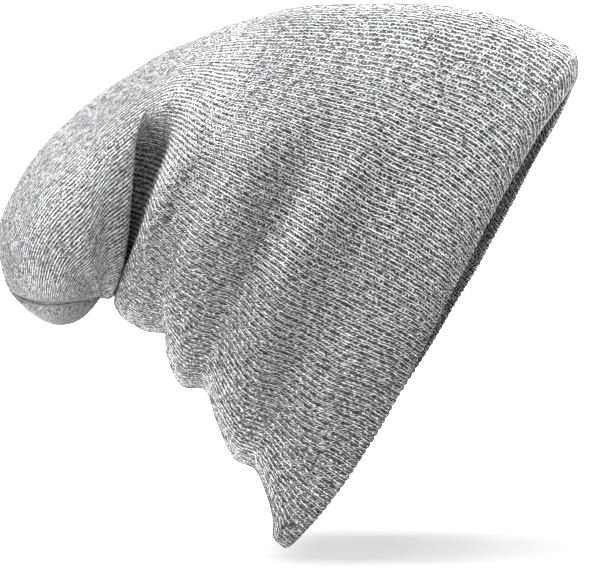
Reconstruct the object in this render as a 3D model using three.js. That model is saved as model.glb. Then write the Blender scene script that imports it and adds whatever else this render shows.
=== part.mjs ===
// Slouch beanie in doubled rib knit, in the shape it has on a head. Millimetres, +Z up.
// +X is the forehead side, -Y the wearer's right side. The origin is the middle of the head opening.
import * as THREE from "three";

// Driving sizes
const WALL = 3.0; // the doubled knit
const HEM_ROLL = 1.4; // how far the rounded hem stands out past the two layers
const FACETS_AROUND = 56; // even
const RINGS_PER_ROW = 2;
const BOW_FULLNESS = 0.8; // below 1 a row's bow reaches nearer to its front and back ends
const PINCH_SPAN = 0.26; // share of a row's height over which a fold deepens
const FULL_DELAY_PINCH = 0.3; // rows pinched this much or more keep their bow for the fold itself
const END_ROUNDING = 3.0; // how blunt a ring is at its front and back ends
const LOBE_REACH = 5; // the higher, the nearer to the back outline the slouch's lobes stay
const BACK_CALMING = 6; // times that the back points are evened out to tell the lobes from the form
const LINING_CALMING = 4; // times that thin spots of the wall are thickened to match their surroundings
const SEAM_CORD_RADIUS = 0.45;
const SEAM_CORD_LIFT = 1.85; // cord centre above the bottom of the seam groove
const SEAM_CORD_SIDES = 6;
const SEAM_CORD_MARGIN = 8; // facets left free at each end of the seam

// One row for each ring of cloth that shapes the cap, from the hem to the crown seam.
// frontX, frontY, frontZ: the row's point on the top outline; backX, backY, backZ: its point on the
// back outline. right, left: how far it stands out to each side of the line between the two.
// rightBow, leftBow: how far the middle of each side moves off that line, away from the crown at the
// hem. rightLean, leftLean: the same, but against the bow in the upper half and with it in the lower.
// rightPinch, leftPinch: share of the width that a fold takes away; pinchFrom: where it starts,
// as a share of the way from front to back.
const ROW_COLUMNS = [
  "name", "frontX", "frontY", "frontZ", "backX", "backY", "backZ", "right", "left",
  "rightBow", "leftBow", "rightLean", "leftLean", "rightPinch", "leftPinch", "pinchFrom",
];
const ROW_TABLE = [
  ["hem edge", 56.8, 0, 89.7, -55.1, 0, -90.1, 69.5, 69.5, 3.8, 5.7, 8.7, 3, 0, 0, 0.3],
  ["hem roll", 55.9, 0, 96.9, -58.5, 0, -86.6, 71.4, 71.4, 2.3, 3.4, 4.6, 1.9, 0, 0, 0.3],
  ["hem top", 50.2, 0, 101.5, -58.3, 0, -81.3, 72.4, 72.4, 0.8, 1.5, 1.9, 0.8, 0, 0, 0.3],
  ["nape", 35, 0, 108.7, -60, 0, -71.8, 73, 73, 0, -2.3, -0.8, 0, 0.02, 0.02, 0.45],
  ["fold 4", 16, 0, 113.6, -65, 0, -60, 74, 74, -1.5, -4.6, -2.3, -1.1, 0.045, 0.04, 0.4],
  ["lobe 4 lower", 7.6, 0, 115, -73, 0, -56.2, 74, 74, -1.5, -4.9, -3.8, -1.5, 0.01, 0, 0.35],
  ["lobe 4 upper", -3, 0, 116.1, -79.4, 0, -43.3, 74, 74, -1.5, -5.3, -5.3, -1.9, -0.015, -0.01, 0.35],
  ["fold 3", -17.5, 0, 116.7, -84.4, 0, -30, 73, 73, -1.1, -5.3, -7.6, -2.3, 0.05, 0.06, 0.3],
  ["lobe 3 lower", -26.6, 0, 116.5, -92.7, 0, -28.9, 73, 73, -0.4, -5.3, -8.4, -2.7, 0, 0, 0.3],
  ["lobe 3 upper", -35.3, 0, 116.2, -98, 0, -17.9, 72, 72, 0, -5.3, -8.4, -3, -0.015, -0.01, 0.3],
  ["fold 2", -47.5, 0, 115.1, -97.3, 0, -9.5, 70, 70, -1.5, -6.1, -9.1, -3.4, 0.05, 0.06, 0.24],
  ["lobe 2 lower", -57.8, 0, 113.4, -107.2, 0, -8, 68, 68, -1.5, -6.1, -8.4, -3, 0.02, 0.02, 0.25],
  ["lobe 2 upper", -69.9, 0, 110.2, -116.3, 0, -2.3, 64, 64, 0, -4.6, -5.3, -2.3, -0.015, -0.01, 0.25],
  ["tuck lip", -78.3, 0, 107.2, -118.9, 0, 1.9, 61, 61, 1.1, -3, -2.3, -1.1, 0.02, 0, 0.2],
  ["tuck bottom", -84.4, 0, 104.7, -119.3, 0, 4.2, 59, 59, -1.1, -4.6, 1.5, 0, 0.42, 0.18, 0.2],
  ["tuck back", -90.4, 0, 102.2, -119.7, 0, 4.9, 57, 58, -6.8, -5.3, 2.3, 0, 0.46, 0.22, 0.2],
  ["tuck under", -95.8, 0, 99.9, -120.1, 0, 4.2, 53, 58, -3.4, -3.8, 3.4, 0, 0.32, 0.14, 0.19],
  ["pouch edge", -102.6, 0, 96.5, -120.7, -1, 4, 52, 58, 3, -1.9, 7.6, -1.9, 0.05, 0.03, 0.24],
  ["pouch crest", -116.3, 0, 88.2, -121.2, -4, 4.2, 54, 61, 0.8, -0.4, 2.3, -6.8, 0, 0, 0.3],
  ["pouch dip", -136, 0, 72.6, -121.8, -8, 4.6, 53, 62, 3.8, 2.3, 0, -12.9, 0, 0.02, 0.3],
  ["pouch side", -153.5, -1, 52.8, -122.4, -12, 4.9, 50, 60, 8, 0.8, 1.5, -16, 0, 0, 0.3],
  ["pouch back", -162.4, -3, 31.2, -122.9, -16, 5.3, 45, 55, 7.6, -8.4, 1.5, -11.4, 0, 0, 0.3],
  ["pouch base", -161.7, -6, 18.2, -123.3, -19, 5.7, 36, 42, 1.1, -16.7, 0, -5.3, 0, 0, 0.3],
  ["seam edge", -159.4, -9, 9.9, -123.7, -22, 6.3, 22, -12, -3.4, -9.1, 0, 0, 0, 0, 0.3],
  ["seam", -156.2, -11, 6.8, -125.6, -22, 8.4, 15, -15, -3, -3, 0, 0, 0, 0, 0.3],
];
// Rows that the lining side passes by: there the cloth lies folded on itself.
const ROWS_INSIDE_THE_TUCK = ["tuck lip", "tuck under", "pouch edge"];
const ROWS_PAST_THE_HOLLOW = ["pouch base", "seam edge", "seam"];

// Colours seen in the photograph
const KNIT_GREY = new THREE.Color(0.42, 0.42, 0.425);
const SEAM_GREY = new THREE.Color(0.16, 0.16, 0.165);

const rows = ROW_TABLE.map((values) =>
  Object.fromEntries(ROW_COLUMNS.map((column, k) => [column, values[k]])),
);
const HALF = FACETS_AROUND / 2;

function ease(from, span, value) {
  const share = THREE.MathUtils.clamp((value - from) / span, 0, 1);
  return share * share * (3 - 2 * share);
}

// Angles that space points evenly round an ellipse of the given half sizes.
function evenAngles(halfHeight, halfWidth, count) {
  const fine = 720;
  const length = [0];
  for (let k = 0; k < fine; k++) {
    const angle = ((k + 0.5) / fine) * 2 * Math.PI;
    const stretch = Math.hypot(halfHeight * Math.sin(angle), halfWidth * Math.cos(angle));
    length.push(length[k] + stretch);
  }
  const angles = [];
  let k = 0;
  for (let j = 0; j < count; j++) {
    const wanted = (length[fine] * j) / count;
    while (length[k + 1] < wanted) k++;
    const part = (wanted - length[k]) / (length[k + 1] - length[k]);
    angles.push(((k + part) / fine) * 2 * Math.PI);
  }
  return angles;
}

function backOf(row) {
  return new THREE.Vector3(row.backX, row.backY, row.backZ);
}

// The back points of the rows with the slouch's lobes evened out.
function calmBacks(someRows) {
  let backs = someRows.map(backOf);
  for (let pass = 0; pass < BACK_CALMING; pass++) {
    backs = backs.map((back, k) => {
      if (k === 0 || k === backs.length - 1) {
        return back;
      }
      const between = backs[k - 1].clone().lerp(backs[k + 1], 0.5);
      return back.clone().lerp(between, 0.5);
    });
  }
  return backs;
}

// The ring of points of one row: first the front, then down the right side, the back, up the left.
function ringOfRow(row, calmBack, count) {
  const front = new THREE.Vector3(row.frontX, row.frontY, row.frontZ);
  const lobe = backOf(row).sub(calmBack);
  const chord = calmBack.clone().sub(front);
  const height = chord.length();
  const across = new THREE.Vector3(-chord.z, 0, chord.x).normalize();
  const halfWidth = (Math.abs(row.right) + Math.abs(row.left)) / 2;
  return evenAngles(height / 2, halfWidth, count).map((angle) => {
    const down = (1 - Math.cos(angle)) / 2;
    const isRight = Math.sin(angle) >= 0;
    const bow = isRight ? row.rightBow : row.leftBow;
    const lean = isRight ? row.rightLean : row.leftLean;
    const pinch = isRight ? row.rightPinch : row.leftPinch;
    const width = isRight ? row.right : row.left;
    const outwards = isRight ? -1 : 1;
    const bulge = Math.abs(Math.sin(angle));
    const inTheFold = ease(row.pinchFrom, PINCH_SPAN, down);
    const delayed = Math.min(pinch / FULL_DELAY_PINCH, 1) * (1 - inTheFold);
    const swell = Math.pow(4 * down * (1 - down), BOW_FULLNESS) * (1 - delayed);
    const point = front.clone().addScaledVector(chord, down);
    point.addScaledVector(lobe, Math.pow(down, LOBE_REACH));
    point.addScaledVector(across, (bow + lean * (2 * down - 1)) * swell);
    const kept = width * (1 - pinch * inTheFold);
    point.y += outwards * (kept * bulge + END_ROUNDING * (Math.sqrt(bulge) - bulge));
    return point;
  });
}

// A smooth grid of rings through the given rows: a centripetal curve along each rib.
function clothGrid(someRows) {
  const calm = calmBacks(someRows);
  const rings = someRows.map((row, k) => ringOfRow(row, calm[k], FACETS_AROUND));
  const total = (rings.length - 1) * RINGS_PER_ROW + 1;
  const grid = Array.from({ length: total }, () => []);
  for (let j = 0; j < FACETS_AROUND; j++) {
    const rib = new THREE.CatmullRomCurve3(rings.map((ring) => ring[j]), false, "centripetal");
    for (let i = 0; i < total; i++) {
      grid[i].push(rib.getPoint(i / (total - 1)));
    }
  }
  return grid;
}

// Triangles between neighbouring rings, facing away from the hollow.
function gridTriangles(grid) {
  const triangles = [];
  for (let i = 0; i + 1 < grid.length; i++) {
    for (let j = 0; j < FACETS_AROUND; j++) {
      const next = (j + 1) % FACETS_AROUND;
      const corners = [grid[i][j], grid[i][next], grid[i + 1][next], grid[i + 1][j]];
      triangles.push([corners[0], corners[2], corners[1]], [corners[0], corners[3], corners[2]]);
    }
  }
  return triangles;
}

// Joins the right and the left half of a ring in the line midway between them.
function closeRing(ring) {
  for (let j = 1; j < HALF; j++) {
    ring[j].lerp(ring[FACETS_AROUND - j], 0.5);
    ring[FACETS_AROUND - j] = ring[j];
  }
}

// Distance from a point to the nearest of the triangles.
function makeClearance(triangles) {
  const faces = triangles.map((corners) => {
    const triangle = new THREE.Triangle(...corners);
    const middle = triangle.getMidpoint(new THREE.Vector3());
    const reach = Math.max(...corners.map((corner) => corner.distanceTo(middle)));
    return { triangle, middle, reach };
  });
  const touched = new THREE.Vector3();
  return (point) => {
    let nearest = Infinity;
    for (const { triangle, middle, reach } of faces) {
      if (middle.distanceTo(point) - reach < nearest) {
        triangle.closestPointToPoint(point, touched);
        nearest = Math.min(nearest, touched.distanceTo(point));
      }
    }
    return nearest;
  };
}

// The first point on the way from start to end that is only a wall's thickness from the outside.
function wallPoint(start, end, clearance) {
  const nearEnough = 0.02;
  const mostSteps = 60;
  const way = end.clone().sub(start).normalize();
  const point = start.clone();
  for (let step = 0; step < mostSteps; step++) {
    const free = clearance(point) - WALL;
    if (free < nearEnough) {
      break;
    }
    point.addScaledVector(way, free);
  }
  return point;
}

function meanPoint(points) {
  const sum = points.reduce((total, point) => total.add(point), new THREE.Vector3());
  return sum.divideScalar(points.length);
}

// Thickens each place where the wall is thinner than the mean of its neighbours.
function calmed(depths) {
  return depths.map((ring, i) =>
    ring.map((depth, j) => {
      const before = ring[(j + FACETS_AROUND - 1) % FACETS_AROUND];
      const after = ring[(j + 1) % FACETS_AROUND];
      const below = depths[Math.max(i - 1, 0)][j];
      const above = depths[Math.min(i + 1, depths.length - 1)][j];
      return Math.max(depth, (before + after + below + above) / 4);
    }),
  );
}

// The lining side of the cloth: each ring grows from its middle until the wall is left.
function hollowGrid(outside, clearance) {
  const passedBy = [...ROWS_INSIDE_THE_TUCK, ...ROWS_PAST_THE_HOLLOW];
  const aims = clothGrid(rows.filter((row) => !passedBy.includes(row.name)));
  const middles = aims.map(meanPoint);
  let depths = aims.map((ring, i) =>
    ring.map((point) => wallPoint(middles[i], point, clearance).distanceTo(point)),
  );
  for (let pass = 0; pass < LINING_CALMING; pass++) {
    depths = calmed(depths);
  }
  const hollow = aims.map((ring, i) =>
    ring.map((point, j) => {
      const inwards = middles[i].clone().sub(point).normalize();
      return point.clone().addScaledVector(inwards, depths[i][j]);
    }),
  );
  const lastRing = hollow[hollow.length - 1];
  const seam = outside[outside.length - 1];
  const closing = lastRing.map((point, j) => {
    const between = meanPoint([point, lastRing[(FACETS_AROUND - j) % FACETS_AROUND]]);
    const share = Math.abs(Math.sin((j / HALF) * Math.PI));
    return between.clone().lerp(wallPoint(between, seam[j], clearance), share);
  });
  closeRing(closing);
  closing[0].copy(closing[1]).lerp(lastRing[0], 0.5);
  closing[HALF].copy(closing[HALF - 1]).lerp(lastRing[HALF], 0.5);
  hollow.push(closing);
  return hollow;
}

// The rounded fold of the hem, halfway between the outside and the lining side.
function hemRing(outside, hollow) {
  return outside[0].map((point, j) => {
    const outwards = point.clone().sub(outside[1][j]).normalize();
    return point.clone().lerp(hollow[0][j], 0.5).addScaledVector(outwards, HEM_ROLL);
  });
}

// One body from corner points; points at the same place share a vertex, flat slivers are left out.
function bodyFrom(triangles) {
  const order = new Map();
  const positions = [];
  const indices = [];
  const number = (point) => {
    const key = [point.x, point.y, point.z].map((value) => value.toFixed(4)).join(" ");
    if (!order.has(key)) {
      order.set(key, order.size);
      positions.push(point.x, point.y, point.z);
    }
    return order.get(key);
  };
  for (const corners of triangles) {
    const [a, b, c] = corners.map(number);
    if (a !== b && b !== c && c !== a) {
      indices.push(a, b, c);
    }
  }
  const geometry = new THREE.BufferGeometry();
  geometry.setAttribute("position", new THREE.Float32BufferAttribute(positions, 3));
  geometry.setIndex(indices);
  geometry.computeVertexNormals();
  return geometry;
}

function turnedOver(triangles) {
  return triangles.map(([a, b, c]) => [a, c, b]);
}

// The thread that draws the crown together, lying in the groove of the seam.
function seamCord(outside) {
  const groove = outside[outside.length - 1];
  const shoulder = outside[outside.length - 1 - RINGS_PER_ROW];
  const path = [];
  for (let j = SEAM_CORD_MARGIN; j <= HALF - SEAM_CORD_MARGIN; j++) {
    const above = meanPoint([shoulder[j], shoulder[FACETS_AROUND - j]]);
    const outwards = above.sub(groove[j]).normalize();
    path.push(groove[j].clone().addScaledVector(outwards, SEAM_CORD_LIFT));
  }
  const rings = path.map((centre, k) => {
    const along = path[Math.min(k + 1, path.length - 1)].clone().sub(path[Math.max(k - 1, 0)]);
    along.normalize();
    const side = new THREE.Vector3(0, 1, 0).cross(along).normalize();
    const lift = along.clone().cross(side);
    return Array.from({ length: SEAM_CORD_SIDES }, (_, n) => {
      const angle = (n / SEAM_CORD_SIDES) * 2 * Math.PI;
      const point = centre.clone().addScaledVector(side, SEAM_CORD_RADIUS * Math.cos(angle));
      return point.addScaledVector(lift, SEAM_CORD_RADIUS * Math.sin(angle));
    });
  });
  const triangles = [];
  const firstCentre = path[0];
  const lastCentre = path[path.length - 1];
  for (let n = 0; n < SEAM_CORD_SIDES; n++) {
    const next = (n + 1) % SEAM_CORD_SIDES;
    for (let k = 0; k + 1 < rings.length; k++) {
      triangles.push([rings[k][n], rings[k + 1][next], rings[k + 1][n]]);
      triangles.push([rings[k][n], rings[k][next], rings[k + 1][next]]);
    }
    triangles.push([firstCentre, rings[0][next], rings[0][n]]);
    triangles.push([lastCentre, rings[rings.length - 1][n], rings[rings.length - 1][next]]);
  }
  return bodyFrom(triangles);
}

function meshOf(name, geometry, color, roughness) {
  const material = new THREE.MeshStandardMaterial({ color, roughness, metalness: 0 });
  const mesh = new THREE.Mesh(geometry, material);
  mesh.name = name;
  return mesh;
}

const outside = clothGrid(rows);
closeRing(outside[outside.length - 1]);
const outsideTriangles = gridTriangles(outside);
const clearance = makeClearance(outsideTriangles);
const hollow = hollowGrid(outside, clearance);
const hem = hemRing(outside, hollow);
const hemTriangles = gridTriangles([hollow[0], hem, outside[0]]);
const knit = bodyFrom([...outsideTriangles, ...turnedOver(gridTriangles(hollow)), ...hemTriangles]);

const beanie = new THREE.Group();
beanie.name = "slouch_beanie";
beanie.add(meshOf("knit_body", knit, KNIT_GREY, 0.95));
beanie.add(meshOf("crown_seam", seamCord(outside), SEAM_GREY, 0.9));

export default beanie;
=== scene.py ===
"""Slouch beanie in doubled one-by-one rib knit: ribs in relief, stitches in the material."""

import math

import bpy
import numpy as np
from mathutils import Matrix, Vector
from mathutils.bvhtree import BVHTree


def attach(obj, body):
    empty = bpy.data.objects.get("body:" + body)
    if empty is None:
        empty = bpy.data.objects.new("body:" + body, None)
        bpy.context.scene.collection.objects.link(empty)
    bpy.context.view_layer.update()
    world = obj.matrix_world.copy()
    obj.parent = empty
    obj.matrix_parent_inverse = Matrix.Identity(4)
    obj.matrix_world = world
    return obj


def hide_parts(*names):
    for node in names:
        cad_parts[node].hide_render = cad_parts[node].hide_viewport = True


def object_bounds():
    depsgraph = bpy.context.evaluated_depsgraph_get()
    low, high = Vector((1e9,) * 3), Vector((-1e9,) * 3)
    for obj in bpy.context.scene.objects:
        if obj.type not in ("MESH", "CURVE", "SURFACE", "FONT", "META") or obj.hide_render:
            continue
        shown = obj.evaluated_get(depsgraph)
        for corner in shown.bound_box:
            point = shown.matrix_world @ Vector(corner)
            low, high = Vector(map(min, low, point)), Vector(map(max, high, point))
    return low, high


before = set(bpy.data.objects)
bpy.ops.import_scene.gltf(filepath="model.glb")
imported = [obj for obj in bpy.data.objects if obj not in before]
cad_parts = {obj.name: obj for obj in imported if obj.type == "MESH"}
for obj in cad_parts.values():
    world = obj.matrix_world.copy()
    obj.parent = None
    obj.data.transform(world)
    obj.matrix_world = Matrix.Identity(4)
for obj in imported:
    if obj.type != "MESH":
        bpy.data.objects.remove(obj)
cad_low, cad_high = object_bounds()

# A millimetre in metres
MM = 0.001

# The form of the cloth, in millimetres
WALL = 3.0
HEM_ROLL = 1.4
BOW_FULLNESS = 0.8
PINCH_SPAN = 0.26
FULL_DELAY_PINCH = 0.3
END_ROUNDING = 3.0
BACK_CALMING = 6
LOBE_REACH = 5.0
CLOTH_SWELL = 0.35
CLOTH_SWELL_LENGTH = 34.0
SWELL_SEED = 5

# The surface: how finely it is drawn, and the row at which the slouch begins
POINTS_PER_RIB = 6
RINGS_PER_ROW = 6
HEM_RINGS = 8
ANGLE_SAMPLES = 11521
LINING_RINGS_PER_ROW = 4
LINING_CALMING = 30
LINING_MARCH_STEPS = 60
LINING_NEAR_ENOUGH = 0.05
SLOUCH_FROM_ROW = 11

# The ribs, in millimetres: those closer together are lower, down to the flattest share
RIBS = 188
RIB_HEIGHT = 1.1
HEM_RIB_HEIGHT = 0.5
HEM_RIB_ROWS = 3
LINING_RIB_HEIGHT = 0.55
LINING_FADE_RINGS = 6
RIB_SHARPNESS = 1.3
STEEPEST_RIB = 0.34
FLATTEST_RIB_SHARE = 0.35
RIB_FLATTENING = (1.8, 1.2)
COURSE = 1.4
# How a rib wanders: the number of courses in a turn, and how far it goes
RIB_DRIFT = (16.0, 0.045)
RIB_LIFT = (11.0, 0.10)
RIB_SEED = 11

# The crown seam's thread, in millimetres, and the share of the ring that it leaves at each end
SEAM_THREAD_RADIUS = 0.45
SEAM_THREAD_LIFT = 1.6
SEAM_END_SHARE = 1 / 26

# The camera, in metres, with its sensor width in millimetres
FRAME_WIDTH = 0.228
VIEW_DISTANCE = 3.0
VIEW_AZIMUTH = math.radians(3.5)
VIEW_ELEVATION = math.radians(3.5)
VIEW_CENTRE = (-0.04864, 0, 0.00817)
SENSOR_WIDTH = 36.0

# The light of the sky; then where each lamp's light comes from, its strength and spread in degrees
SKY_LIGHT = 0.06
SUNS = {
    "key": ((0.05, -0.04, 1.2), 12.4, 40.0),
    "side": ((-1.0, -0.40, 0.05), 4.8, 40.0),
}

# The floor, in metres; it glows more far from the middle and more on the left
FLOOR_REACH = 60.0
FLOOR_GAP = 0.0008
FLOOR_SHADES = (0.115, 0.125)
FLOOR_GLOW = (0.70, 3.1)
FLOOR_GLOW_RISE = (0.16, 0.45)
FLOOR_GLOW_LEFT = (-0.04, -0.14)

# The knit's tones
DARK_FIBRE = (0.03, 0.03, 0.031)
LIGHT_FIBRE = (0.80, 0.80, 0.805)
BASE_TONE = 0.37
TONE_CURVE = 1.9
# Painted highlight on the raised legs and loops of the stitches, and painted shade down the groove of
# each rib and in the channels between ribs
LEG_HIGHLIGHT = 1.15
GROOVE_SHADE = 0.42
CHANNEL_SHADE = 0.42
LOOP_HIGHLIGHT = 0.85

# The stitches, in ribs and courses: where the legs, grooves and channels lie across a rib
LEG_PLACE = 0.165
LEG_REACH = 0.12
LEG_STEP = 0.06
LEG_SLANT = 1.7
LEG_ROUNDNESS = 0.8
MERGED_LEG_WIDENING = 0.12
GROOVE_REACH = 0.09
CHANNEL_EDGE = (0.29, 0.42)
LOOP_SHARPNESS = 1.4
RIB_SHAKE = 0.36
COURSE_SHAKE = 0.9

# How much each part of a stitch stands up, with the whole relief in metres
STITCH_RELIEF = 0.0009
LEG_RISE = (0.45, 0.55)
LOOP_RISE = 0.5
FLECK_RISE = 0.25
FIBRE_RISE = 0.35

# Random marks in the yarn: how many there are to a rib and a course, and how far they are sharpened
FLECKS = (3.1, 1.15)
FLECK_CONTRAST = (2.6, -0.8)
STREAKS = (5.0, 0.33)
STREAK_CONTRAST = (2.4, -0.7)
DASHES = (2.3, 0.42)
DASH_CONTRAST = (3.0, -1.0)
FIBRES_PER_METRE = 1300.0
SPECKS_PER_METRE = 1700.0
SPECK_CONTRAST = (0.40, 0.60)
CLOUDS_PER_METRE = 22.0

# What the marks add to the tone, and the painted highlight along each leg's turn: a factor, and the
# value at no mark
LEG_TURN_HIGHLIGHT = (0.35, 0.65)
STREAK_ON_LEG = (1.0, 0.35)
FLECK_ON_LOOP = (1.3, 0.1)
FLECK_MARL = (0.46, -0.25)
DASH_MARL = (0.50, -0.25)
FIBRE_MARL = (0.60, -0.30)
CLOUD_MARL = (0.08, -0.04)

# Rib widths in millimetres over which its two legs merge, and over which the knit looks fine
MERGED_LEGS = (2.3, 1.6)
FINE_KNIT = (2.9, 1.7)
FINE_LEG_LOSS = 0.22
FINE_CHANNEL_SHARE = 0.5
FINE_SPECKLE = (0.52, -0.43)

# The seam yarn: its darkest and lightest places on the twist with their shades, and its relief
YARN_SHADES = ((0.3, 0.03), (0.75, 0.16))
YARN_RELIEF = 0.0002

# One row for each ring of cloth that shapes the cap: name; frontX, frontY, frontZ;
# backX, backY, backZ; right, left; rightBow, leftBow; rightLean, leftLean; rightPinch, leftPinch;
# pinchFrom.
ROW_TABLE = [
    ("hem edge", 56.8, 0, 89.7, -55.1, 0, -90.1, 69.5, 69.5, 3.8, 5.7, 8.7, 3, 0, 0, 0.3),
    ("hem roll", 55.9, 0, 96.9, -58.5, 0, -86.6, 71.4, 71.4, 2.3, 3.4, 4.6, 1.9, 0, 0, 0.3),
    ("hem top", 50.2, 0, 101.5, -58.3, 0, -81.3, 72.4, 72.4, 0.8, 1.5, 1.9, 0.8, 0, 0, 0.3),
    ("nape", 35, 0, 108.7, -60, 0, -71.8, 73, 73, 0, -2.3, -0.8, 0, 0.02, 0.02, 0.45),
    ("fold 4", 16, 0, 113.6, -65, 0, -60, 74, 74, -1.5, -4.6, -2.3, -1.1, 0.045, 0.04, 0.4),
    ("lobe 4 lower", 7.6, 0, 115, -73, 0, -56.2, 74, 74, -1.5, -4.9, -3.8, -1.5, 0.01, 0, 0.35),
    ("lobe 4 upper", -3, 0, 116.1, -79.4, 0, -43.3, 74, 74, -1.5, -5.3, -5.3, -1.9, -0.015, -0.01, 0.35),
    ("fold 3", -17.5, 0, 116.7, -84.4, 0, -30, 73, 73, -1.1, -5.3, -7.6, -2.3, 0.05, 0.06, 0.3),
    ("lobe 3 lower", -26.6, 0, 116.5, -92.7, 0, -28.9, 73, 73, -0.4, -5.3, -8.4, -2.7, 0, 0, 0.3),
    ("lobe 3 upper", -35.3, 0, 116.2, -98, 0, -17.9, 72, 72, 0, -5.3, -8.4, -3, -0.015, -0.01, 0.3),
    ("fold 2", -47.5, 0, 115.1, -97.3, 0, -9.5, 70, 70, -1.5, -6.1, -9.1, -3.4, 0.05, 0.06, 0.24),
    ("lobe 2 lower", -57.8, 0, 113.4, -107.2, 0, -8, 68, 68, -1.5, -6.1, -8.4, -3, 0.02, 0.02, 0.25),
    ("lobe 2 upper", -69.9, 0, 110.2, -116.3, 0, -2.3, 64, 64, 0, -4.6, -5.3, -2.3, -0.015, -0.01, 0.25),
    ("tuck lip", -78.3, 0, 107.2, -118.9, 0, 1.9, 61, 61, 1.1, -3, -2.3, -1.1, 0.02, 0, 0.2),
    ("tuck bottom", -84.4, 0, 104.7, -119.3, 0, 4.2, 59, 59, -1.1, -4.6, 1.5, 0, 0.42, 0.18, 0.2),
    ("tuck back", -90.4, 0, 102.2, -119.7, 0, 4.9, 57, 58, -6.8, -5.3, 2.3, 0, 0.46, 0.22, 0.2),
    ("tuck under", -95.8, 0, 99.9, -120.1, 0, 4.2, 53, 58, -3.4, -3.8, 3.4, 0, 0.32, 0.14, 0.19),
    ("pouch edge", -102.6, 0, 96.5, -120.7, -1, 4, 52, 58, 3, -1.9, 7.6, -1.9, 0.05, 0.03, 0.24),
    ("pouch crest", -116.3, 0, 88.2, -121.2, -4, 4.2, 54, 61, 0.8, -0.4, 2.3, -6.8, 0, 0, 0.3),
    ("pouch dip", -136, 0, 72.6, -121.8, -8, 4.6, 53, 62, 3.8, 2.3, 0, -12.9, 0, 0.02, 0.3),
    ("pouch side", -153.5, -1, 52.8, -122.4, -12, 4.9, 50, 60, 8, 0.8, 1.5, -16, 0, 0, 0.3),
    ("pouch back", -162.4, -3, 31.2, -122.9, -16, 5.3, 45, 55, 7.6, -8.4, 1.5, -11.4, 0, 0, 0.3),
    ("pouch base", -161.7, -6, 18.2, -123.3, -19, 5.7, 36, 42, 1.1, -16.7, 0, -5.3, 0, 0, 0.3),
    ("seam edge", -159.4, -9, 9.9, -123.7, -22, 6.3, 22, -12, -3.4, -9.1, 0, 0, 0, 0, 0.3),
    ("seam", -156.2, -11, 6.8, -125.6, -22, 8.4, 15, -15, -3, -3, 0, 0, 0, 0, 0.3),
]
# How far the ribs of a row slide towards the front: all along the row, and more near its back
RIB_SLIDES = {
    "hem edge": (0.01, 0.34), "hem roll": (-0.02, 0.32), "hem top": (-0.02, 0.23),
    "nape": (0.0, 0.08), "fold 4": (0.0, 0.03), "fold 2": (0.02, 0.0), "lobe 2 lower": (0.05, 0.0),
    "lobe 2 upper": (0.12, 0.0), "tuck lip": (0.20, 0.0), "tuck bottom": (0.24, 0.0),
    "tuck back": (0.26, 0.0), "tuck under": (0.24, 0.0), "pouch edge": (0.18, 0.0),
    "pouch crest": (0.08, 0.0),
}
# Soft creases down the sides: the row that each follows, its half width in rows, its height, and
# where it starts and ends on the way from the front of the row to its back
SIDE_CREASES = [
    (2.6, 0.8, -0.9, 0.20, 0.80),
    (3.9, 1.0, -2.8, 0.18, 1.00),
    (5.5, 0.8, 1.6, 0.25, 1.00),
    (7.0, 0.9, -1.9, 0.15, 0.95),
    (9.5, 0.8, 4.4, 0.20, 0.98),
    (11.2, 0.7, -2.6, 0.15, 0.90),
]
CREASE_FADE = 0.22
# The share of the full rib height in the rows that the deep tuck draws together
TUCK_RIB_SHARES = {
    "tuck lip": 0.7, "tuck bottom": 0.4, "tuck back": 0.4, "tuck under": 0.4,
    "pouch edge": 0.7, "pouch crest": 0.85,
}
# The lining takes a straighter way and leaves these rows out
ROWS_INSIDE_THE_TUCK = ("tuck lip", "tuck under", "pouch edge")
ROWS_PAST_THE_HOLLOW = ("pouch base", "seam edge", "seam")


def ease(start, span, value):
    """A smooth step from 0 at start to 1 a span further on, which may be negative."""
    share = np.clip((value - start) / span, 0.0, 1.0)
    return share * share * (3.0 - 2.0 * share)


def even_angles(half_height, half_width, count):
    """Angles that space points evenly round a row of the given half sizes."""
    angle = np.linspace(0, 2 * math.pi, ANGLE_SAMPLES)
    bulge = np.abs(np.sin(angle))
    rounded = END_ROUNDING * np.sign(np.sin(angle)) * (np.sqrt(bulge) - bulge)
    up = np.diff(half_height * np.cos(angle))
    aside = np.diff(half_width * np.sin(angle) + rounded)
    length = np.concatenate([[0.0], np.cumsum(np.hypot(up, aside))])
    wanted = length[-1] * np.arange(count) / count
    return np.interp(wanted, length, angle)


def calm_backs(table):
    """The back points of all rows with the lobes of the slouch smoothed away."""
    backs = np.array([row[4:7] for row in table], float)
    for _ in range(BACK_CALMING):
        backs[1:-1] = backs[1:-1] / 2 + (backs[:-2] + backs[2:]) / 4
    return backs


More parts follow.
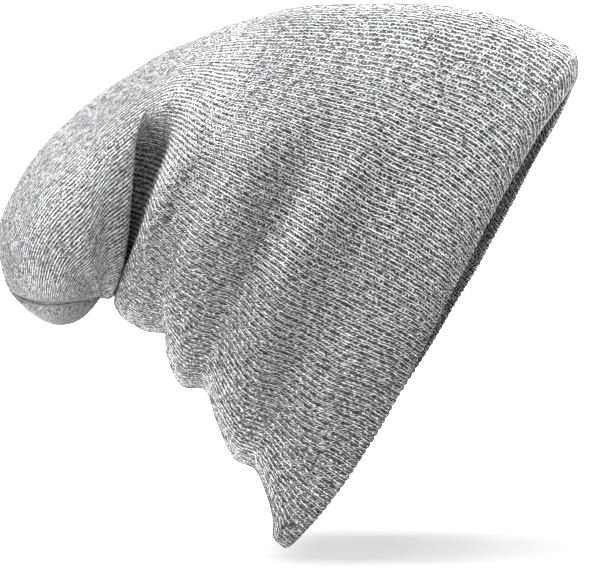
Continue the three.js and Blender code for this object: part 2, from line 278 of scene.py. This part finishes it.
def ring_of_row(row, calm_back, count):
    """Points of one row: first the front, then down the right side, the back, up the left."""
    (_, fx, fy, fz, bx, by, bz, right, left, right_bow, left_bow, right_lean, left_lean,
     right_pinch, left_pinch, pinch_from) = row
    front = np.array([fx, fy, fz], float)
    lobe = np.array([bx, by, bz], float) - calm_back
    chord = calm_back - front
    height = np.linalg.norm(chord)
    across = np.array([-chord[2], 0.0, chord[0]])
    across /= np.linalg.norm(across)
    angle = even_angles(height / 2, (abs(right) + abs(left)) / 2, count)
    slide, low_slide = RIB_SLIDES.get(row[0], (0.0, 0.0))
    down = (1 - np.cos(angle)) / 2
    angle = angle - np.sin(angle) * (slide + low_slide * down ** 2)
    down = (1 - np.cos(angle)) / 2
    is_right = np.sin(angle) >= 0
    bow = np.where(is_right, right_bow, left_bow)
    lean = np.where(is_right, right_lean, left_lean)
    pinch = np.where(is_right, right_pinch, left_pinch)
    width = np.where(is_right, right, left)
    outwards = np.where(is_right, -1.0, 1.0)
    bulge = np.abs(np.sin(angle))
    in_the_fold = ease(pinch_from, PINCH_SPAN, down)
    delayed = np.minimum(pinch / FULL_DELAY_PINCH, 1) * (1 - in_the_fold)
    swell = np.clip(4 * down * (1 - down), 0, None) ** BOW_FULLNESS * (1 - delayed)
    points = front + down[:, None] * chord + (down ** LOBE_REACH)[:, None] * lobe
    points += ((bow + lean * (2 * down - 1)) * swell)[:, None] * across
    kept = width * (1 - pinch * in_the_fold)
    points[:, 1] += outwards * (kept * bulge + END_ROUNDING * (np.sqrt(bulge) - bulge))
    return points


def centripetal(knots, per_span):
    """Smooth curves through knots (rows, points, 3), the same way as a centripetal spline does."""
    before = 2 * knots[0] - knots[1]
    after = 2 * knots[-1] - knots[-2]
    ext = np.concatenate([before[None], knots, after[None]])
    out = []
    for k in range(len(knots) - 1):
        p0, p1, p2, p3 = ext[k], ext[k + 1], ext[k + 2], ext[k + 3]
        d0 = np.sum((p1 - p0) ** 2, 1) ** 0.25
        d1 = np.sum((p2 - p1) ** 2, 1) ** 0.25
        d2 = np.sum((p3 - p2) ** 2, 1) ** 0.25
        d1 = np.where(d1 < 1e-4, 1.0, d1)
        d0 = np.where(d0 < 1e-4, d1, d0)
        d2 = np.where(d2 < 1e-4, d1, d2)
        d0, d1, d2 = d0[:, None], d1[:, None], d2[:, None]
        t1 = ((p1 - p0) / d0 - (p2 - p0) / (d0 + d1) + (p2 - p1) / d1) * d1
        t2 = ((p2 - p1) / d1 - (p3 - p1) / (d1 + d2) + (p3 - p2) / d2) * d1
        for s in range(per_span):
            t = s / per_span
            h00 = 2 * t ** 3 - 3 * t ** 2 + 1
            h10 = t ** 3 - 2 * t ** 2 + t
            h01 = -2 * t ** 3 + 3 * t ** 2
            h11 = t ** 3 - t ** 2
            out.append(h00 * p1 + h10 * t1 + h01 * p2 + h11 * t2)
    out.append(knots[-1])
    return np.array(out)


def cloth_grid(table, count, per_span):
    """The smooth cloth as a grid of rings, a few for each row of the table."""
    rings = [ring_of_row(row, back, count) for row, back in zip(table, calm_backs(table))]
    return centripetal(np.array(rings), per_span)


def creased(grid):
    """Presses the soft creases into the sides of a grid of rings."""
    rings, m = grid.shape[:2]
    row = (np.arange(rings) / RINGS_PER_ROW)[:, None]
    down = (1 - np.cos(2 * math.pi * np.arange(m) / m)) / 2
    height = sum(
        rise * np.exp(-((row - middle) / half_width) ** 2)
        * ease(start, CREASE_FADE, down) * ease(end, -CREASE_FADE, down)
        for middle, half_width, rise, start, end in SIDE_CREASES)
    return grid + outward_normals(grid) * height[..., None]


def close_ring(ring):
    """Joins the right and the left half of a ring in the line midway between them."""
    half = len(ring) // 2
    middle = (ring[1:half] + ring[:half:-1]) / 2
    ring[1:half] = middle
    ring[:half:-1] = middle


def unit(vectors):
    return vectors / np.maximum(np.linalg.norm(vectors, axis=-1, keepdims=True), 1e-9)


def outward_normals(grid):
    """Normals of a grid of rings whose ribs run away from the hem, facing away from the hollow."""
    around = np.roll(grid, -1, 1) - np.roll(grid, 1, 1)
    along = np.gradient(grid, axis=0)
    return unit(np.cross(along, around))


def noise_on(points, scale, seed):
    """Slow random swell from a few sine waves of mixed directions, between about -1 and 1."""
    rng = np.random.default_rng(seed)
    total = np.zeros(points.shape[:-1])
    waves = 9
    for _ in range(waves):
        direction = unit(rng.normal(size=3)) * (2 * math.pi / scale) * rng.uniform(0.7, 1.5)
        total += np.sin(points @ direction + rng.uniform(0, 2 * math.pi))
    return total / math.sqrt(waves) * 0.8


def rib_profile(phase, sharpness):
    """Height over a rib, from 1 on its ridge down to 0 between two ribs."""
    return (0.5 + 0.5 * np.cos(2 * math.pi * phase)) ** sharpness


def wander(courses, period, amplitude, seed):
    """A slow random drift along each rib, by ring and rib."""
    rng = np.random.default_rng(seed)
    total = np.zeros((courses.shape[0], RIBS))
    own = courses[:, ::POINTS_PER_RIB]
    for octave in (1.0, 0.55, 0.31):
        turn = rng.uniform(0, 2 * math.pi, RIBS)
        pace = 2 * math.pi / (period * octave) * rng.uniform(0.8, 1.25, RIBS)
        total += np.sin(own * pace + turn) * octave
    return total * amplitude


def between_ribs(by_rib):
    """Spreads a value known at each rib over all the points round a ring."""
    m = RIBS * POINTS_PER_RIB
    at = np.arange(m) / POINTS_PER_RIB - 0.5
    first = np.floor(at).astype(int)
    part = at - first
    return by_rib[:, first % RIBS] * (1 - part) + by_rib[:, (first + 1) % RIBS] * part


def dressed(grid, height, seed):
    """Adds the ribs to a smooth grid; returns its points, and the rib, course and rib width there."""
    m = grid.shape[1]
    steps = np.linalg.norm(np.diff(grid, axis=0), axis=2)
    courses = np.concatenate([np.zeros((1, m)), np.cumsum(steps, 0)]) / COURSE
    drift = between_ribs(wander(courses, *RIB_DRIFT, seed))
    lift = between_ribs(1 + wander(courses, *RIB_LIFT, seed + 1))
    ribs = np.arange(m) / POINTS_PER_RIB + drift
    spacing = np.linalg.norm(np.roll(grid, -1, 1) - np.roll(grid, 1, 1), axis=2) / 2
    spacing = spacing * POINTS_PER_RIB
    half_rib = POINTS_PER_RIB // 2
    spacing = (np.roll(spacing, half_rib, 1) + spacing + np.roll(spacing, -half_rib, 1)) / 3
    standing = FLATTEST_RIB_SHARE + (1 - FLATTEST_RIB_SHARE) * ease(*RIB_FLATTENING, spacing)
    rib_height = np.minimum(height, STEEPEST_RIB * spacing) * standing * lift
    normals = outward_normals(grid)
    swell = CLOTH_SWELL * noise_on(grid, CLOTH_SWELL_LENGTH, SWELL_SEED)
    relief = rib_height * (rib_profile(ribs - 0.5, RIB_SHARPNESS) - 0.5) + swell
    points = grid + normals * relief[..., None]
    return points, ribs, courses, spacing


def piece(name, points, ribs, courses, spacing, normals, material):
    """One mesh from a grid of rings, with the rib and course of every corner."""
    rings, m = points.shape[:2]
    i, j = np.meshgrid(np.arange(rings - 1), np.arange(m), indexing="ij")
    k = (j + 1) % m
    quads = np.stack([i * m + j, (i + 1) * m + j, (i + 1) * m + k, i * m + k], -1).reshape(-1, 4)
    step = np.where(j == m - 1, RIBS, 0)
    rib = np.stack([ribs[i, j], ribs[i + 1, j], ribs[i + 1, k] + step, ribs[i, k] + step], -1)
    course = np.stack([courses[i, j], courses[i + 1, j], courses[i + 1, k], courses[i, k]], -1)
    width = np.stack([spacing[i, j], spacing[i + 1, j], spacing[i + 1, k], spacing[i, k]], -1)
    mesh = bpy.data.meshes.new(name)
    mesh.vertices.add(rings * m)
    mesh.vertices.foreach_set("co", (points * MM).astype(np.float32).ravel())
    mesh.loops.add(quads.size)
    mesh.loops.foreach_set("vertex_index", quads.astype(np.int32).ravel())
    mesh.polygons.add(len(quads))
    mesh.polygons.foreach_set("loop_start", np.arange(0, quads.size, 4, dtype=np.int32))
    mesh.polygons.foreach_set("use_smooth", np.ones(len(quads), bool))
    mesh.update(calc_edges=True)
    knit = mesh.attributes.new("knit", "FLOAT_VECTOR", "CORNER")
    values = np.stack([rib, course, width], -1).astype(np.float32)
    knit.data.foreach_set("vector", values.ravel())
    mesh.materials.append(material)
    mesh.normals_split_custom_set_from_vertices(normals.reshape(-1, 3).astype(np.float32))
    thing = bpy.data.objects.new(name, mesh)
    bpy.context.scene.collection.objects.link(thing)
    return thing


def spread_round(coarse):
    """Spreads a grid with one point per rib over all the points round a ring."""
    m = coarse.shape[1] * POINTS_PER_RIB
    at = np.arange(m) / POINTS_PER_RIB
    first = np.floor(at).astype(int)
    part = (at - first).reshape((1, -1) + (1,) * (coarse.ndim - 2))
    count = coarse.shape[1]
    p0, p1 = coarse[:, (first - 1) % count], coarse[:, first % count]
    p2, p3 = coarse[:, (first + 1) % count], coarse[:, (first + 2) % count]
    return p1 + 0.5 * part * (p2 - p0 + part * (
        2 * p0 - 5 * p1 + 4 * p2 - p3 + part * (3 * (p1 - p2) + p3 - p0)))


def lining_depths(aims, middles, outside_tree):
    """How far inside each aim the march from the ring's middle stops, a wall from the outside."""
    depths = np.zeros(aims.shape[:2])
    for i in range(aims.shape[0]):
        for j in range(aims.shape[1]):
            way = unit(aims[i, j] - middles[i])
            point = middles[i].copy()
            for _ in range(LINING_MARCH_STEPS):
                free = outside_tree.find_nearest(Vector(point))[3] - WALL
                if free < LINING_NEAR_ENOUGH:
                    break
                point += way * free
            depths[i, j] = np.linalg.norm(aims[i, j] - point)
    for _ in range(LINING_CALMING):
        near = (np.roll(depths, 1, 1) + np.roll(depths, -1, 1)) / 4
        below = np.concatenate([depths[:1], depths[:-1]]) / 4
        above = np.concatenate([depths[1:], depths[-1:]]) / 4
        depths = np.maximum(depths, near + below + above)
    return depths


class Wiring:
    """Short calls that add shader nodes to a material and join them."""

    def __init__(self, name):
        self.material = bpy.data.materials.new(name)
        self.material.use_nodes = True
        self.tree = self.material.node_tree
        self.shader = self.tree.nodes["Principled BSDF"]

    def node(self, kind, inputs=(), **settings):
        made = self.tree.nodes.new(kind)
        for key, value in settings.items():
            setattr(made, key, value)
        for key, value in dict(inputs).items():
            self.feed(made.inputs[key], value)
        return made

    def feed(self, socket, value):
        if isinstance(value, bpy.types.NodeSocket):
            self.tree.links.new(value, socket)
        else:
            socket.default_value = value

    def math(self, operation, a, b=0.0, c=0.0, clamp=False):
        made = self.node("ShaderNodeMath", {0: a, 1: b, 2: c}, operation=operation)
        made.use_clamp = clamp
        return made.outputs[0]

    def add(self, a, b):
        return self.math("ADD", a, b)

    def times(self, a, b):
        return self.math("MULTIPLY", a, b)

    def band(self, value, low, high):
        """0 below low, 1 above high and a smooth step between, or the reverse if low > high."""
        made = self.node("ShaderNodeMapRange", {0: value, 1: low, 2: high, 3: 0.0, 4: 1.0},
                         interpolation_type="SMOOTHSTEP")
        return made.outputs[0]

    def wave(self, value, sharpness=1.0):
        """A wave from 0 to 1 and back over each whole number."""
        turn = self.math("COSINE", self.times(value, 2 * math.pi))
        return self.math("POWER", self.math("MULTIPLY_ADD", turn, 0.5, 0.5), sharpness)

    def vector(self, x, y, z=0.0):
        return self.node("ShaderNodeCombineXYZ", {0: x, 1: y, 2: z}).outputs[0]

    def noise(self, vector, scale, detail=2.0, roughness=0.5):
        made = self.node("ShaderNodeTexNoise", {
            "Vector": vector, "Scale": scale, "Detail": detail, "Roughness": roughness})
        return made.outputs[0]


def knit_material():
    """Marl rib knit: two slanting legs of stitches on each rib and loops in the channels, with painted
    highlight on the legs and loops and painted shade in the grooves and channels.
    """
    w = Wiring("marl_rib_knit")
    knit = w.node("ShaderNodeAttribute", attribute_name="knit")
    split = w.node("ShaderNodeSeparateXYZ", {0: knit.outputs["Vector"]})
    rib, course = split.outputs[0], split.outputs[1]
    place = w.node("ShaderNodeTexCoord").outputs["Object"]

    shake = w.noise(w.vector(rib, w.times(course, 0.6)), 1.6, 1.0)
    rib = w.add(rib, w.math("MULTIPLY_ADD", shake, RIB_SHAKE, -RIB_SHAKE / 2))
    course_shake = w.noise(w.vector(w.times(rib, 0.8), w.times(course, 0.5), 7.0), 1.3, 1.0)
    course_shift = w.math("MULTIPLY_ADD", course_shake, COURSE_SHAKE, -COURSE_SHAKE / 2)
    course = w.add(course, course_shift)

    aside = w.math("ABSOLUTE", w.math("SUBTRACT", w.math("FRACT", rib), 0.5))
    narrow = w.band(split.outputs[2], *MERGED_LEGS)
    open_rib = w.math("SUBTRACT", 1.0, narrow)
    step = w.wave(w.times(course, 0.5), 1.0)
    leg_place = w.times(open_rib, w.math("MULTIPLY_ADD", step, LEG_STEP, LEG_PLACE))
    leg_way = w.math("ABSOLUTE", w.math("SUBTRACT", aside, leg_place))
    leg = w.band(w.math("MULTIPLY_ADD", narrow, -MERGED_LEG_WIDENING, leg_way), LEG_REACH, 0.0)
    groove = w.times(w.band(aside, GROOVE_REACH, 0.0), open_rib)
    channel = w.band(aside, *CHANNEL_EDGE)
    legs_turn = w.wave(w.math("MULTIPLY_ADD", aside, -LEG_SLANT, course), LEG_ROUNDNESS)
    loops = w.wave(w.add(course, 0.5), LOOP_SHARPNESS)

    at_fleck = w.vector(w.times(rib, FLECKS[0]), w.times(course, FLECKS[1]))
    fleck = w.noise(at_fleck, 1.0, 2.0, 0.6)
    fleck = w.math("MULTIPLY_ADD", fleck, *FLECK_CONTRAST, clamp=True)
    at_streak = w.vector(w.times(rib, STREAKS[0]), w.times(course, STREAKS[1]), 3.0)
    streak = w.noise(at_streak, 1.0, 2.0, 0.6)
    streak = w.math("MULTIPLY_ADD", streak, *STREAK_CONTRAST, clamp=True)
    at_dash = w.vector(w.times(rib, DASHES[0]), w.times(course, DASHES[1]), 9.0)
    dash = w.noise(at_dash, 1.0, 1.0, 0.5)
    dash = w.math("MULTIPLY_ADD", dash, *DASH_CONTRAST, clamp=True)
    fibre = w.noise(place, FIBRES_PER_METRE, 2.0, 0.6)
    speck = w.noise(place, SPECKS_PER_METRE, 1.0, 0.5)
    speck = w.band(speck, *SPECK_CONTRAST)
    cloud = w.noise(place, CLOUDS_PER_METRE, 2.0)

    # Painted highlight: the legs lighter than the rest, most where each leg rises in its turn, with
    # random streaks in the yarn
    on_leg = w.times(leg, w.math("MULTIPLY_ADD", legs_turn, *LEG_TURN_HIGHLIGHT))
    on_leg = w.times(on_leg, w.math("MULTIPLY_ADD", streak, *STREAK_ON_LEG))
    in_channel = w.times(channel, w.times(loops, w.math("MULTIPLY_ADD", fleck, *FLECK_ON_LOOP)))
    fine = w.band(split.outputs[2], *FINE_KNIT)
    # Less of the painted highlight on the legs where the knit is fine
    leg_highlight = w.math("MULTIPLY_ADD", fine, -FINE_LEG_LOSS * LEG_HIGHLIGHT, LEG_HIGHLIGHT)
    tone = w.math("MULTIPLY_ADD", on_leg, leg_highlight, BASE_TONE)
    # Painted shade down the groove between each rib's two legs and across the channels between ribs,
    # less in the channels where the knit is fine
    tone = w.math("MULTIPLY_ADD", groove, -GROOVE_SHADE, tone)
    channel_shade = w.math("MULTIPLY_ADD", fine, FINE_CHANNEL_SHARE * CHANNEL_SHADE, -CHANNEL_SHADE)
    tone = w.math("MULTIPLY_ADD", channel, channel_shade, tone)
    # Painted highlight on the loops in the shaded channels, flecked at random
    tone = w.math("MULTIPLY_ADD", in_channel, LOOP_HIGHLIGHT, tone)
    marl = w.math("MULTIPLY_ADD", fleck, *FLECK_MARL)
    marl = w.add(marl, w.math("MULTIPLY_ADD", dash, *DASH_MARL))
    marl = w.add(marl, w.math("MULTIPLY_ADD", fibre, *FIBRE_MARL))
    tone = w.add(tone, marl)
    speckle = w.times(fine, w.math("MULTIPLY_ADD", speck, *FINE_SPECKLE))
    tone = w.add(tone, speckle)
    tone = w.add(tone, w.math("MULTIPLY_ADD", cloud, *CLOUD_MARL))
    tone = w.math("POWER", w.math("MAXIMUM", tone, 0.0), TONE_CURVE)
    ramp = w.node("ShaderNodeValToRGB", {0: tone})
    ends = ((0.0, DARK_FIBRE), (1.0, LIGHT_FIBRE))
    for element, (at, colour) in zip(ramp.color_ramp.elements, ends):
        element.position = at
        element.color = (*colour, 1.0)
    w.feed(w.shader.inputs["Base Color"], ramp.outputs[0])

    height = w.times(leg, w.math("MULTIPLY_ADD", legs_turn, *LEG_RISE))
    height = w.math("MULTIPLY_ADD", w.times(channel, loops), LOOP_RISE, height)
    height = w.math("MULTIPLY_ADD", fleck, FLECK_RISE, height)
    height = w.math("MULTIPLY_ADD", fibre, FIBRE_RISE, height)
    bump = w.node("ShaderNodeBump", {"Height": height, "Strength": 1.0, "Distance": STITCH_RELIEF})
    w.feed(w.shader.inputs["Normal"], bump.outputs[0])
    w.shader.inputs["Roughness"].default_value = 0.95
    w.shader.inputs["Specular IOR Level"].default_value = 0.15
    w.shader.inputs["Sheen Weight"].default_value = 0.08
    w.shader.inputs["Sheen Roughness"].default_value = 0.5
    return w.material


def yarn_material():
    """Dark twisted sewing yarn."""
    w = Wiring("seam_yarn")
    place = w.node("ShaderNodeTexCoord").outputs["Object"]
    twist = w.noise(place, FIBRES_PER_METRE, 3.0)
    ramp = w.node("ShaderNodeValToRGB", {0: twist})
    for element, (at, shade) in zip(ramp.color_ramp.elements, YARN_SHADES):
        element.position = at
        element.color = (shade, shade, shade, 1.0)
    w.feed(w.shader.inputs["Base Color"], ramp.outputs[0])
    bump = w.node("ShaderNodeBump", {"Height": twist, "Strength": 0.8, "Distance": YARN_RELIEF})
    w.feed(w.shader.inputs["Normal"], bump.outputs[0])
    w.shader.inputs["Roughness"].default_value = 0.9
    return w.material


def floor_material():
    """Pale floor that glows a little, so that the shadow on it stays light."""
    w = Wiring("floor")
    place = w.node("ShaderNodeTexCoord").outputs["Object"]
    grain = w.noise(place, 3.0)
    ramp = w.node("ShaderNodeValToRGB", {0: grain})
    for element, shade in zip(ramp.color_ramp.elements, FLOOR_SHADES):
        element.color = (shade, shade, shade, 1.0)
    w.feed(w.shader.inputs["Base Color"], ramp.outputs[0])
    w.shader.inputs["Roughness"].default_value = 1.0
    w.shader.inputs["Specular IOR Level"].default_value = 0.0
    w.shader.inputs["Emission Color"].default_value = (1, 1, 1, 1)
    middle_way = w.node("ShaderNodeVectorMath", {0: place}, operation="LENGTH").outputs["Value"]
    far = w.band(middle_way, *FLOOR_GLOW_RISE)
    along = w.node("ShaderNodeSeparateXYZ", {0: place}).outputs[0]
    bright = w.math("MAXIMUM", far, w.band(along, *FLOOR_GLOW_LEFT))
    glow = w.math("MULTIPLY_ADD", bright, FLOOR_GLOW[1] - FLOOR_GLOW[0], FLOOR_GLOW[0])
    w.feed(w.shader.inputs["Emission Strength"], glow)
    return w.material


# The outside of the cloth
AROUND = RIBS * POINTS_PER_RIB
outside = creased(cloth_grid(ROW_TABLE, AROUND, RINGS_PER_ROW))
close_ring(outside[-1])

tree_step = POINTS_PER_RIB // 2
sparse = outside[::2, ::tree_step]
tree_rows, tree_count = sparse.shape[:2]
tree_faces = []
for i in range(tree_rows - 1):
    for j in range(tree_count):
        k = (j + 1) % tree_count
        tree_faces.append((i * tree_count + j, (i + 1) * tree_count + j,
                           (i + 1) * tree_count + k, i * tree_count + k))
outside_tree = BVHTree.FromPolygons([Vector(p) for p in sparse.reshape(-1, 3)], tree_faces)

# The lining: the same form through fewer rows, a wall inside the outside, and shut at the crown
passed_by = ROWS_INSIDE_THE_TUCK + ROWS_PAST_THE_HOLLOW
lining_rows = [row for row in ROW_TABLE if row[0] not in passed_by]
aims = cloth_grid(lining_rows, RIBS, LINING_RINGS_PER_ROW)
middles = aims.mean(axis=1)
depths = lining_depths(aims, middles, outside_tree)
lining = aims + unit(middles[:, None] - aims) * depths[..., None]
mates = (RIBS - np.arange(RIBS)) % RIBS
closing = (lining[-1] + lining[-1][mates]) / 2
lining = np.concatenate([lining, ((lining[-1] + closing) / 2)[None], closing[None]])
lining = spread_round(lining)

# The hem: a round fold from the lining over to the outside
hem_out = unit(outside[0] - outside[1])
hem_across = outside[0] - lining[0]
hem_middle = (outside[0] + lining[0]) / 2
hem = []
for k in range(1, HEM_RINGS):
    turn = math.pi * k / HEM_RINGS
    hem.append(hem_middle - hem_across / 2 * math.cos(turn)
               + hem_out * (HEM_ROLL * math.sin(turn)))
cloth = np.concatenate([lining[::-1], np.array(hem), outside])
lining_end = len(lining) - 1
front_end = lining_end + len(hem) + 1 + SLOUCH_FROM_ROW * RINGS_PER_ROW

# The ribs: low on the lining and at the hem, then full, and lower again in the tuck
ring_number = np.arange(len(cloth))
hem_end = lining_end + len(hem)
rib_heights = np.interp(
    ring_number,
    [lining_end - LINING_FADE_RINGS, hem_end, hem_end + HEM_RIB_ROWS * RINGS_PER_ROW],
    [LINING_RIB_HEIGHT, HEM_RIB_HEIGHT, RIB_HEIGHT])
row_rings = hem_end + 1 + np.arange(len(ROW_TABLE)) * RINGS_PER_ROW
row_shares = [TUCK_RIB_SHARES.get(row[0], 1.0) for row in ROW_TABLE]
rib_heights = rib_heights * np.interp(ring_number, row_rings, row_shares)
points, ribs, courses, spacing = dressed(cloth, rib_heights[:, None], RIB_SEED)
# Both ends stay shut along their seams
points[[0, -1]] = cloth[[0, -1]]
normals = outward_normals(points)

knit = knit_material()
parts = {
    "knit_lining_side": (0, lining_end),
    "knit_front": (lining_end, front_end),
    "knit_slouch": (front_end, len(cloth) - 1),
}
for name, (start, end) in parts.items():
    span = slice(start, end + 1)
    thing = piece(name, points[span], ribs[span], courses[span], spacing[span], normals[span], knit)
    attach(thing, "root")
    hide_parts("knit_body")

# The thread of the crown seam, which lies between the two turned-in edges
groove = outside[-1]
shoulder = outside[-1 - RINGS_PER_ROW]
margin = int(AROUND * SEAM_END_SHARE)
pairs = np.arange(margin, AROUND // 2 - margin)
lip = (shoulder[pairs] + shoulder[AROUND - pairs]) / 2
route = groove[pairs] + unit(lip - groove[pairs]) * SEAM_THREAD_LIFT
thread = bpy.data.curves.new("crown_seam_thread", "CURVE")
thread.dimensions = "3D"
thread.bevel_depth = SEAM_THREAD_RADIUS * MM
thread.bevel_resolution = 3
thread.use_fill_caps = True
spline = thread.splines.new("POLY")
spline.points.add(len(route) - 1)
for k, place in enumerate(route):
    spline.points[k].co = (*(place * MM), 1.0)
thread.materials.append(yarn_material())
thread_object = bpy.data.objects.new("crown_seam_thread", thread)
bpy.context.scene.collection.objects.link(thread_object)
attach(thread_object, "root")
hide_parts("crown_seam")

# The camera
camera = bpy.data.cameras.new("camera")
camera.sensor_width = SENSOR_WIDTH
camera.lens = camera.sensor_width * VIEW_DISTANCE / FRAME_WIDTH
camera_object = bpy.data.objects.new("camera", camera)
bpy.context.scene.collection.objects.link(camera_object)
back = Vector((math.sin(VIEW_AZIMUTH) * math.cos(VIEW_ELEVATION),
               -math.cos(VIEW_AZIMUTH) * math.cos(VIEW_ELEVATION), math.sin(VIEW_ELEVATION)))
camera_object.location = Vector(VIEW_CENTRE) + back * VIEW_DISTANCE
camera_object.rotation_mode = "QUATERNION"
camera_object.rotation_quaternion = (-back).to_track_quat("-Z", "Y")
camera.clip_end = 50
bpy.context.scene.camera = camera_object

# The floor, the sky and the lights
floor_mesh = bpy.data.meshes.new("floor")
level = cad_low.z - FLOOR_GAP
corners = [(-1, -1), (1, -1), (1, 1), (-1, 1)]
floor_mesh.from_pydata([(x * FLOOR_REACH, y * FLOOR_REACH, level) for x, y in corners],
                       [], [(0, 1, 2, 3)])
floor = bpy.data.objects.new("floor", floor_mesh)
bpy.context.scene.collection.objects.link(floor)
floor_mesh.materials.append(floor_material())

world = bpy.data.worlds.new("studio")
bpy.context.scene.world = world
world.use_nodes = True
sky = world.node_tree
seen = sky.nodes.new("ShaderNodeLightPath").outputs["Is Camera Ray"]
glow = sky.nodes.new("ShaderNodeMapRange")
sky.links.new(seen, glow.inputs[0])
glow.inputs[3].default_value = SKY_LIGHT
glow.inputs[4].default_value = 1.0
sky.nodes["Background"].inputs[0].default_value = (1, 1, 1, 1)
sky.links.new(glow.outputs[0], sky.nodes["Background"].inputs[1])

for name, (source, strength, spread) in SUNS.items():
    sun = bpy.data.lights.new(name, "SUN")
    sun.energy = strength
    sun.angle = math.radians(spread)
    sun_object = bpy.data.objects.new(name, sun)
    sun_object.rotation_mode = "QUATERNION"
    sun_object.rotation_quaternion = (-Vector(source)).to_track_quat("-Z", "Y")
    bpy.context.scene.collection.objects.link(sun_object)

bpy.context.scene.view_settings.view_transform = "Standard"
